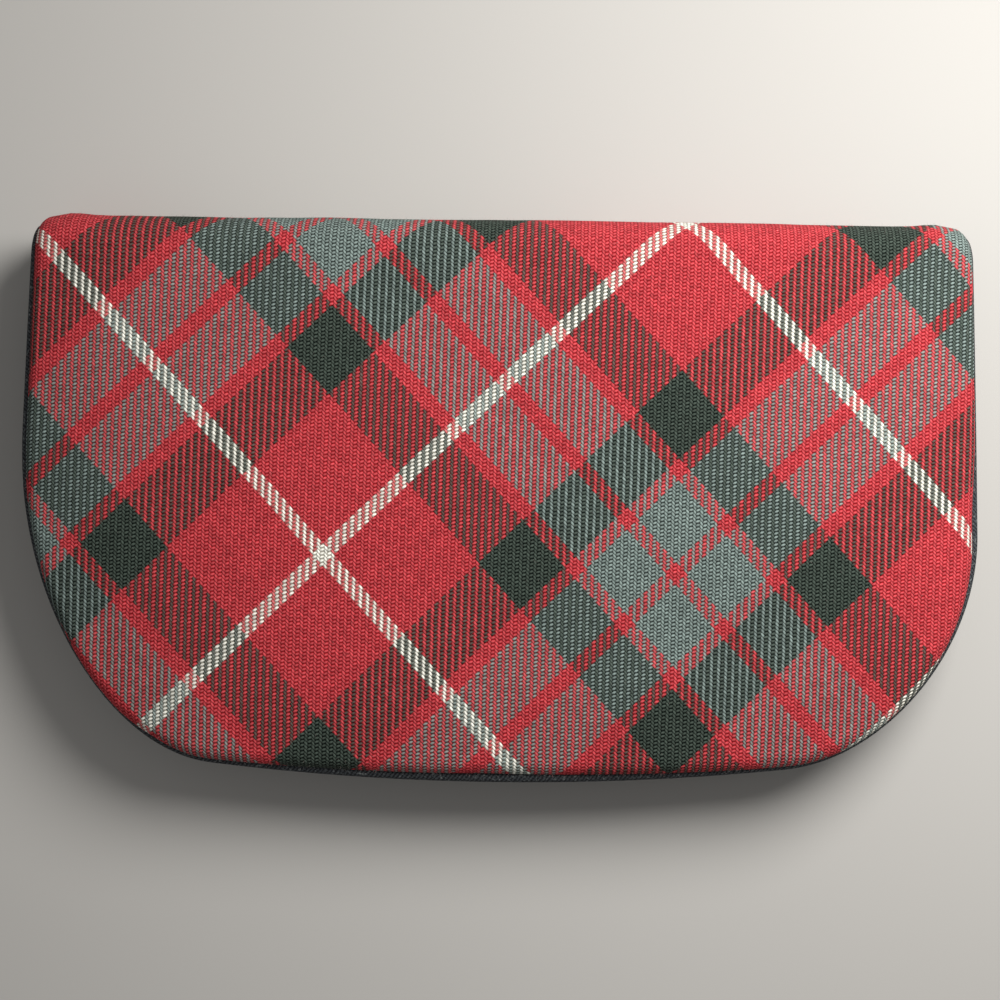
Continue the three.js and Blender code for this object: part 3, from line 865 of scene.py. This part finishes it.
def back_face(x, s, edge, upper):
    """The back lies on the table, its edge lifted a little."""
    lift = 0.5 * (1 - smooth(0, 9, edge)) * (1 - BACK.over_fold(s))
    spine = SHOULDER * (1 - smooth(0, SHOULDER_RUN, edge)) - CROWN * smooth(0, CROWN_RUN, edge)
    uneven = 0.04 * (1 + ripple(x, s, 22.0, 7.7)) * (1 - BACK.over_fold(s))
    return lift + SPINE_SHARE * spine * BACK.over_fold(s) + uneven


back_cover = layer("back_cover", BACK, BACK.split, round_edge(1.3, 1.5, CLOTH, tuck=0.2), tartan,
                   inset=back_inset, shape=back_face, step=2.4, outline_step=1.6, threads=True)
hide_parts("back_shell", "spine_shell")
bend_back(back_cover)


# ---- Wadding under the flap's cloth ----
SPINE_LINING_DEPTH = 3.2
FLAP_LINING_DEPTH = FLAP_CORD_DEPTH - 0.3
WADDING = 1.9  # its thickness
WADDING_GAP = 0.2  # between it and the cloth above
WADDING_INSET = 2.6  # how much smaller than the cloth it is cut
WADDING_ROOM = 0.55  # left between it and the lining below
PRESSED = 0.4  # how thin it may be pressed


def wadding_face(x, s, edge, upper):
    """The wadding follows the cloth above it, and is pressed thinner where the lining comes close."""
    wanted = padded_face(x, s, edge + 1.2, upper) + CLOTH + WADDING_GAP
    lining = FLAP_LINING_DEPTH + (SPINE_LINING_DEPTH - FLAP_LINING_DEPTH) * FRONT.over_fold(s)
    return np.minimum(wanted, lining - WADDING_ROOM - np.where(upper, PRESSED, WADDING))


def wadding_inset(outline):
    return flap_inset(outline) + WADDING_INSET


flap_wadding = layer("flap_wadding", FRONT, FRONT.split - 0.6, slab(0.9, WADDING), wadding,
                     inset=wadding_inset, shape=wadding_face, step=4, outline_step=2.5)
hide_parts("flap_padding", "spine_padding")
bend_flap(flap_wadding)


# ---- Piping ----
def between(on_face, on_spine, side):
    """A value that changes from the face to the spine."""
    return lambda s: on_face + (on_spine - on_face) * side.over_fold(s)


def level(value):
    """The same value all along, as a function of s like the others."""
    return lambda s: np.full(s.size, float(value))


flap_piping = sweep("flap_cord", FRONT, FRONT.split, between(FLAP_CORD_INSET, SPINE_CORD_INSET, FRONT),
                    between(FLAP_CORD_DEPTH, SPINE_CORD_DEPTH, FRONT), level(FLAP_CORD_R), piping_skin)
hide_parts("flap_piping", "spine_piping_left", "spine_piping_right")
bend_flap(flap_piping)

back_piping = sweep("back_cord", BACK, BACK.split, between(BODY_CORD_INSET, SPINE_CORD_INSET, BACK),
                    between(BACK_CORD_DEPTH, SPINE_CORD_DEPTH, BACK), between(BODY_CORD_R, FLAP_CORD_R, BACK),
                    piping_skin)
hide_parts("back_piping", "spine_piping_left", "spine_piping_right")
bend_back(back_piping)

FRONT_CORD_Z = np.mean([b[2] for b in node_box("front_piping")])
MOUTH_Y = node_box("front_shell")[1][1]
front_piping = sweep("front_cord", Flat(FRONT_CORD_Z), MOUTH_Y + 1.5, level(BODY_CORD_INSET), level(0),
                     level(BODY_CORD_R), piping_skin)
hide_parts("front_piping")
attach(front_piping, "pouch")


# ---- Linings ----
LINING = 0.5  # thickness of the satin
LINING_EDGE = 0.2
FLAP_LINING_INSET = 2.3
BACK_LINING_INSET = 5.2
BACK_LINING_DEPTH = 2.8


def lining_face(depth, side):
    """The lining lies a little slack inside its seam."""
    def face(x, s, edge, upper):
        seam = 0.3 * (1 - smooth(0, 3, edge))
        slack = 0.12 * ripple(x, s, 15.0, 2.2) * smooth(0, 8, edge)
        return between(depth, SPINE_LINING_DEPTH, side)(s) - seam + slack
    return face


def lining_inset(side, on_face):
    """The lining's inset, which on the spine is just inside the cord's."""
    return lambda outline: between(on_face, SPINE_CORD_INSET + 0.9, side)(outline.s)


flap_lining = layer("flap_lining_satin", FRONT, FRONT.split, slab(LINING_EDGE, LINING), satin,
                    inset=lining_inset(FRONT, FLAP_LINING_INSET), shape=lining_face(FLAP_LINING_DEPTH, FRONT),
                    step=3, outline_step=2)
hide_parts("flap_lining", "spine_lining")
bend_flap(flap_lining)

back_lining = layer("back_lining_satin", BACK, BACK.split, slab(LINING_EDGE, LINING), satin,
                    inset=lining_inset(BACK, BACK_LINING_INSET), shape=lining_face(BACK_LINING_DEPTH, BACK),
                    step=3, outline_step=2)
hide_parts("back_lining", "spine_lining")
bend_back(back_lining)


# ---- Gusset ----
GUSSET_TOP_Y = node_box("gusset_shell")[1][1]
GUSSET_SLOPE = 0.72  # how much of its height the strip's front edge comes down past the mouth
GUSSET_DIP = 0.9  # how far its middle dips in along the sides
GUSSET_TUCK = 2.2  # and how much further at its ends
WRINKLE = 0.5
CORNER_WRINKLE = 2.6


def gusset(name, outer, thickness, z0, z1, material, node):
    """A strip round three sides that dips in at its middle, creases at corners and tucks in at its ends."""
    outline = Outline(GUSSET_TOP_Y, 1.4)
    levels = np.linspace(0, 1, 13)
    end = smooth(MOUTH_Y, outline.s[0], outline.s)
    corner = 1 - np.maximum(np.abs(outline.nx), np.abs(outline.ns))
    loop = [(0.0, t) for t in levels] + [(thickness, t) for t in reversed(levels)]
    count, n = len(loop), outline.x.size
    waves = np.array([noise.noise(Vector((r / 5.5, 0.3, 9.1))) for r in outline.run])
    rows = []
    for inward, t in loop:
        dip = math.sin(math.pi * t)
        crease = WRINKLE * waves * (0.35 + CORNER_WRINKLE * corner)
        x, s = outline.inset(outer + inward + dip * (GUSSET_DIP + GUSSET_TUCK * end + crease))
        z = z0 + (z1 - z0) * t * (1 - GUSSET_SLOPE * end)
        rows.append(np.stack([x, s, z], -1))
    points = np.stack(rows, 1).reshape(-1, 3)
    piece = make_object(name, points, tube_faces(n, count) + end_faces(n, count), material)
    face_outwards(piece)
    up = np.tile([t * (z1 - z0) for _, t in loop], n)
    store(piece, "cloth", np.stack([np.repeat(outline.run, count), up], -1) * MM)
    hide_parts(node)
    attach(piece, "pouch")
    return piece


BACK_CORD_TOP = BACK_CORD_DEPTH + BODY_CORD_R
FRONT_CORD_LOW = FRONT_CORD_Z - BODY_CORD_R
gusset_strip = gusset("gusset_strip", 3.9, 0.9, BACK_CORD_TOP - 0.5, FRONT_CORD_LOW + 0.5,
                      leatherette, "gusset_shell")
gusset_satin = gusset("gusset_satin", 5.0, 0.4, BACK_CORD_TOP - 0.2, FRONT_CORD_LOW + 0.2,
                      satin, "gusset_lining")


# ---- Front panel ----
FRONT_TOP_Z = node_box("front_shell")[1][2]
FRONT_INSET = 5.3
FRONT_LINING_INSET = 5.2


def front_face(x, s, edge, upper):
    """The panel bulges a little, but not along its bound edge."""
    bulge = 0.2 * smooth(0, 12, edge) * (1 - smooth(MOUTH_Y - 14, MOUTH_Y - 5, s))
    return -bulge - 0.06 * ripple(x, s, 18.0, 6.0)


def front_lining_face(x, s, edge, upper):
    return 0.1 * ripple(x, s, 14.0, 1.5)


front_shell = layer("front_panel", Flat(FRONT_TOP_Z), MOUTH_Y,
                    round_edge(1.1, 1.5, 0.8, tuck=0.1, lead=(5.0, 2.5)), leatherette,
                    inset=FRONT_INSET, shape=front_face, step=3, outline_step=1.6)
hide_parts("front_shell")
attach(front_shell, "pouch")

front_lining = layer("front_lining_satin", Flat(node_box("front_lining")[1][2]), MOUTH_Y,
                     slab(LINING_EDGE, LINING), satin,
                     inset=FRONT_LINING_INSET, shape=front_lining_face, step=3.5, outline_step=2)
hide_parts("front_lining")
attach(front_lining, "pouch")


def strip_along_x(name, profile, half_length, node):
    """A leatherette strip: a closed profile of (y, z) run across the bag."""
    profile = np.array(profile)
    across = np.linspace(-half_length, half_length, 120)
    count, n = len(profile), across.size
    points = []
    for x in across:
        lean = 0.05 * noise.noise(Vector((x / 9, 0.5, 3.3)))
        points += [(x, y + lean, z + lean * 0.6) for y, z in profile]
    piece = make_object(name, points, tube_faces(n, count) + end_faces(n, count), leatherette)
    face_outwards(piece)
    around = np.concatenate([[0], np.cumsum(np.linalg.norm(np.diff(profile, axis=0), axis=1))])
    store(piece, "cloth", np.stack([np.repeat(across, count), np.tile(around, n)], -1) * MM)
    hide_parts(node)
    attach(piece, "pouch")
    return piece


def folded_binding(y_edge, z_low, z_high, width, thickness):
    """The profile of a strip folded over an edge, its two cut sides turned under."""
    middle, radius = (z_low + z_high) / 2, (z_high - z_low) / 2
    turns = np.linspace(math.pi / 2, -math.pi / 2, 13)
    outer = [(y_edge - width, z_high - 0.25), (y_edge - width + 0.5, z_high)]
    outer += [(y_edge - radius + radius * math.cos(t), middle + radius * math.sin(t)) for t in turns]
    outer += [(y_edge - width + 0.5, z_low), (y_edge - width, z_low + 0.25)]
    inside = radius - thickness
    inner = [(y_edge - width, z_low + thickness)]
    turns = reversed(turns)
    inner += [(y_edge - radius + inside * math.cos(t), middle + inside * math.sin(t)) for t in turns]
    inner += [(y_edge - width, z_high - thickness)]
    return outer + inner


binding_low, binding_high = node_box("mouth_binding")
binding_profile = folded_binding(binding_high[1], binding_low[2] + 0.1, binding_high[2] - 0.1, 5.2, 0.6)
mouth_binding = strip_along_x("mouth_binding_strip", binding_profile, binding_high[0] + 0.6, "mouth_binding")


# ---- Slip pocket ----
POCKET_INSET = 9.0


def pocket_face(x, s, edge, upper):
    return -0.22 * smooth(0, 10, edge) + 0.1 * ripple(x, s, 12.0, 8.8)


_, pocket_high = node_box("slip_pocket")
hem_low, hem_high = node_box("slip_pocket_hem")
slip_pocket = layer("card_pocket", Flat(pocket_high[2]), pocket_high[1], slab(LINING_EDGE, LINING), satin,
                    inset=POCKET_INSET, shape=pocket_face, step=3.5, outline_step=2)
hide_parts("slip_pocket")
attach(slip_pocket, "pouch")
hem_profile = folded_binding(hem_high[1] + 0.6, hem_low[2] - 0.9, hem_high[2] + 0.1, 5.4, 0.45)
pocket_hem = strip_along_x("card_pocket_hem", hem_profile, hem_high[0] + 0.4, "slip_pocket_hem")


# ---- Magnetic snap ----
socket_low, socket_high = node_box("snap_socket")
SNAP = ((socket_low[0] + socket_high[0]) / 2, (socket_low[1] + socket_high[1]) / 2)
SNAP_R = (socket_high[0] - socket_low[0]) / 2


def rounded_profile(points, radius, steps=4):
    """A lathe profile whose corners are rounded, apart from those on the axis."""
    points = [np.array(p, float) for p in points]
    made = [points[0]]
    for before, at, after in zip(points, points[1:], points[2:]):
        r = min(radius, np.linalg.norm(at - before) * 0.45, np.linalg.norm(after - at) * 0.45)
        start = at + (before - at) / np.linalg.norm(before - at) * r
        end = at + (after - at) / np.linalg.norm(after - at) * r
        for i in range(steps + 1):
            t = i / steps
            made.append((1 - t) ** 2 * start + 2 * t * (1 - t) * at + t * t * end)
    return made + [points[-1]]


base_z, top_z = FRONT_TOP_Z - 0.1, socket_high[2]
CUP_WALL = 1.2
CUP_FLOOR = 0.9
cup = turned("snap_cup", rounded_profile([
    (0, base_z), (SNAP_R, base_z), (SNAP_R, top_z - 0.5), (SNAP_R - 0.35, top_z), (SNAP_R - CUP_WALL, top_z),
    (SNAP_R - CUP_WALL, base_z + CUP_FLOOR), (0, base_z + CUP_FLOOR)], 0.3), SNAP, nickel)
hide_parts("snap_socket")
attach(cup, "pouch")

MAGNET_HOLE_R = 3.1
magnet_low, magnet_high, magnet_r = base_z + 0.7, top_z - 0.25, SNAP_R - 1.0
magnet_ring = turned("snap_magnet_ring", rounded_profile([
    (MAGNET_HOLE_R, magnet_low), (magnet_r, magnet_low), (magnet_r, magnet_high),
    (MAGNET_HOLE_R, magnet_high), (MAGNET_HOLE_R, magnet_low)], 0.2), SNAP, magnet)
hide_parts("snap_magnet")
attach(magnet_ring, "pouch")

stud_low, _ = node_box("snap_stud")
disc_low = socket_high[2] + 0.3
stud_z = stud_low[2]
stud = turned("snap_stud_disc", rounded_profile([
    (0, stud_z), (2.0, stud_z), (2.5, stud_z + 0.5), (2.5, disc_low), (4.6, disc_low),
    (5.2, disc_low + 0.25), (SNAP_R - 0.5, disc_low + 0.25), (SNAP_R, disc_low + 0.6),
    (SNAP_R, disc_low + 1.1), (0, disc_low + 1.1)], 0.25), SNAP, nickel)
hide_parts("snap_stud")
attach(stud, "flap")


# ---- Cut sizes of the cloth pieces ----
COVER_HEM = 4.0  # what is turned in behind each seam
FRONT_HEM = 1.5
LINING_HEM = 1.0
COVER_EDGE = 1.5  # where the flap's cloth turns in


def declare_cut(piece, top, inset, hem, **also):
    """Works out the area of a D-shaped sheet with the size that it was cut to, hems included, and keeps
    nothing.
    """
    outline = Outline(top + hem)
    x, s = outline.inset(np.full(outline.x.size, inset - hem))
    area = abs(np.sum(x * np.roll(s, -1) - np.roll(x, -1) * s)) / 2


def declare_strip():
    """Works out the length of a strip that runs round the bag's three free sides, from cord to cord, and
    keeps nothing.
    """
    Outline(GUSSET_TOP_Y).run[-1] * MM


declare_cut(flap_cover, FRONT.split, COVER_EDGE, COVER_HEM, rests_on=["flap_wadding"])
declare_cut(back_cover, BACK.split, BODY_CORD_INSET, COVER_HEM, rests_on=["back_board"])
declare_cut(flap_lining, FRONT.split, FLAP_LINING_INSET, LINING_HEM, rests_on=["flap_board"])
declare_cut(back_lining, BACK.split, BACK_LINING_INSET, LINING_HEM, rests_on=["back_board"])
declare_cut(front_shell, MOUTH_Y, FRONT_INSET, FRONT_HEM, rests_on=["front_board"],
            with_pieces=[mouth_binding])
declare_cut(front_lining, MOUTH_Y, FRONT_LINING_INSET, LINING_HEM, rests_on=["front_board"])
declare_cut(slip_pocket, pocket_high[1], POCKET_INSET, LINING_HEM, rests_on=["back_lining_satin"],
            with_pieces=[pocket_hem])
declare_strip()
declare_strip()


# ---- Stitching ----
UP, DOWN = (0, 0, 1), (0, 0, -1)


def stitch_row(name, points, up, body, **sizes):
    piece = stitches(name, points, up, sewing_thread, **sizes)
    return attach(piece, body)


def outline_path(top, inset, z):
    outline = Outline(top, 1.0)
    x, s = outline.inset(inset)
    return np.stack([x, s, np.full(x.size, z)], -1)


def across_path(half_length, y, z):
    x = np.linspace(-half_length, half_length, 200)
    return np.stack([x, np.full(x.size, y), np.full(x.size, z)], -1)


binding_x, binding_y = binding_high[0] - 1, binding_high[1] - 4.1
hem_x, hem_y = hem_high[0] - 1, hem_high[1] - 3.6
lining_z = TOP_Z - FLAP_LINING_DEPTH - LINING
stitch_row("front_panel_stitches", outline_path(MOUTH_Y - 5, 7.4, FRONT_TOP_Z + 0.12), UP, "pouch")
stitch_row("binding_stitches", across_path(binding_x, binding_y, binding_high[2] - 0.08), UP, "pouch")
stitch_row("binding_stitches_inside", across_path(binding_x, binding_y, binding_low[2] + 0.08), DOWN, "pouch")
stitch_row("pocket_hem_stitches", across_path(hem_x, hem_y, hem_high[2] + 0.12), UP, "pouch")
stitch_row("pocket_side_stitches", outline_path(pocket_high[1] - 6, 10.2, pocket_high[2] + 0.1), UP, "pouch",
           spacing=2.2, length=1.5)
stitch_row("flap_lining_stitches", outline_path(50, 4.4, lining_z + 0.02), DOWN, "flap")


# ---- Loose wool fibres ----
EDGE_FIBRES = 5  # how many times more of them show on an upright stretch of cloth
FIBRE_RADIUS = (0.011, 0.02)


def fuzz(name, cover, count, bend, longest, seed):
    """Short curved fibres standing out of a cover's outer face, thicker on its edges."""
    draw = np.random.default_rng(seed)
    mesh = cover.data
    mesh.calc_loop_triangles()
    n = len(mesh.loop_triangles)
    corners, areas, normals = np.zeros(n * 3, int), np.zeros(n), np.zeros(n * 3)
    mesh.loop_triangles.foreach_get("vertices", corners)
    mesh.loop_triangles.foreach_get("area", areas)
    mesh.loop_triangles.foreach_get("normal", normals)
    points, threads = np.zeros(len(mesh.vertices) * 3), np.zeros(len(mesh.vertices) * 3)
    mesh.vertices.foreach_get("co", points)
    mesh.attributes["thread"].data.foreach_get("vector", threads)
    corners, normals = corners.reshape(-1, 3), normals.reshape(-1, 3)
    points, threads = points.reshape(-1, 3) / MM, threads.reshape(-1, 3)
    centers = points[corners].mean(1)
    from_middle = centers - np.array([0, 0, TOP_Z / 2])
    outer = (normals * from_middle * np.array([0.2, 0.2, 1.0])).sum(1) > 0.3
    steep = 1 - np.abs(normals[:, 2])
    chance = areas * outer * (1 + EDGE_FIBRES * steep)
    chosen = draw.choice(n, count, p=chance / chance.sum())
    share = draw.dirichlet((1, 1, 1), count)
    root = (points[corners[chosen]] * share[..., None]).sum(1)
    thread = (threads[corners[chosen]] * share[..., None]).sum(1)
    normal = normals[chosen]
    lean = draw.normal(size=(count, 3))
    lean -= (lean * normal).sum(1)[:, None] * normal
    lean /= np.linalg.norm(lean, axis=1)[:, None]
    turn = np.cross(normal, lean)
    length = longest * draw.uniform(0.25, 1.0, count) ** 1.6
    rise = draw.uniform(0.25, 0.95, count)
    curl = draw.uniform(-1.0, 1.0, count)
    thick = draw.uniform(*FIBRE_RADIUS, count)
    rows, steps, sides = [], 5, 3
    for k in range(steps):
        t = k / (steps - 1)
        out = normal * (rise * math.sin(t * 1.9) * 0.75)[:, None]
        along = lean * (t * (1.2 - rise))[:, None] + turn * (curl * t * t * 0.6)[:, None]
        at = root - normal * 0.05 + length[:, None] * (out + along)
        for j in range(sides):
            angle = 2 * math.pi * j / sides
            ring = (lean * math.cos(angle) + turn * math.sin(angle)) * (thick * (1 - 0.8 * t))[:, None]
            rows.append(at + ring)
    points = np.stack(rows, 1).reshape(-1, 3)
    points[:, 2] = np.maximum(points[:, 2], 0.01)  # those below lie pressed on the table
    per = steps * sides
    faces = [face for fibre in range(count) for face in tube_faces(steps, sides, fibre * per)]
    piece = make_object(name, points, faces, wool_fibre)
    thread[:, 2] = draw.uniform(0, 1, count)
    store(piece, "thread", np.repeat(thread, per, axis=0))
    return bend(piece)


fuzz("flap_fibres", flap_cover, 6000, bend_flap, 1.6, 21)
fuzz("back_fibres", back_cover, 3000, bend_back, 1.1, 22)


# ---- Materials of the CAD pieces that stay as they are ----
for node, material in [("back_board", board), ("front_board", board), ("flap_board", board),
                       ("snap_socket_plate", nickel), ("snap_stud_plate", nickel)]:
    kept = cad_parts[node]
    kept.data.materials.clear()
    kept.data.materials.append(material)


# ---- Floor, light and camera ----
def make_floor():
    n = Nodes("floor")
    at = n.node("ShaderNodeTexCoord", output=3)
    mottle = n.noise(at, 3.0, 2.0)
    color = n.mix(mottle, (0.45, 0.445, 0.43, 1), (0.50, 0.495, 0.48, 1))
    material = n.finish(Base_Color=color, Roughness=0.8)
    half, z = 4000, -0.05
    corners = [(-half, -half, z), (half, -half, z), (half, half, z), (-half, half, z)]
    floor = make_object("floor", corners, [[0, 1, 2, 3]], material, smooth_shading=False)


def area_light(name, location, target, size, power, color):
    data = bpy.data.lights.new(name, "AREA")
    data.shape = "DISK"
    data.size = size
    data.energy = power
    data.color = color
    lamp = bpy.data.objects.new(name, data)
    bpy.context.scene.collection.objects.link(lamp)
    lamp.location = location
    lamp.rotation_euler = (Vector(target) - Vector(location)).to_track_quat("-Z", "Y").to_euler()


make_floor()
world = bpy.data.worlds.new("studio")
world.use_nodes = True
world.node_tree.nodes["Background"].inputs[0].default_value = (1.0, 0.97, 0.94, 1)
world.node_tree.nodes["Background"].inputs[1].default_value = 0.22
bpy.context.scene.world = world
bpy.context.scene.view_settings.view_transform = "Standard"
area_light("key", (0.19, 0.165, 0.295), (0.02, 0.0, 0.02), 0.24, 2.1, (1.0, 0.97, 0.93))
area_light("fill", (-0.5, -0.35, 0.7), (0, 0, 0), 0.8, 0.3, (0.95, 0.97, 1.0))

camera_data = bpy.data.cameras.new("camera")
camera = bpy.data.objects.new("camera", camera_data)
bpy.context.scene.collection.objects.link(camera)
bpy.context.scene.camera = camera
TILT = math.radians(6)  # of the view off the vertical
TOWARDS = math.radians(-5.5)  # of the direction that it leans in, counted from the bag's rounded end
ROLL = math.radians(-0.9)  # of the picture about the line of sight
DISTANCE = 0.42
FIELD = 0.2266  # width in metres of what the picture shows at the target
SENSOR = 36
target = Vector(mm(0.7, -1.45, TOP_Z))
away = Vector((math.sin(TILT) * -math.sin(TOWARDS), -math.sin(TILT) * math.cos(TOWARDS), math.cos(TILT)))
camera.location = target + away * DISTANCE
forward = -away
side_axis = forward.cross(Vector((math.sin(ROLL), math.cos(ROLL), 0))).normalized()
up_axis = side_axis.cross(forward)
camera.matrix_world = Matrix((
    (side_axis.x, up_axis.x, -forward.x, camera.location.x),
    (side_axis.y, up_axis.y, -forward.y, camera.location.y),
    (side_axis.z, up_axis.z, -forward.z, camera.location.z),
    (0, 0, 0, 1),
))
camera_data.sensor_width = SENSOR
camera_data.lens = SENSOR * DISTANCE / FIELD
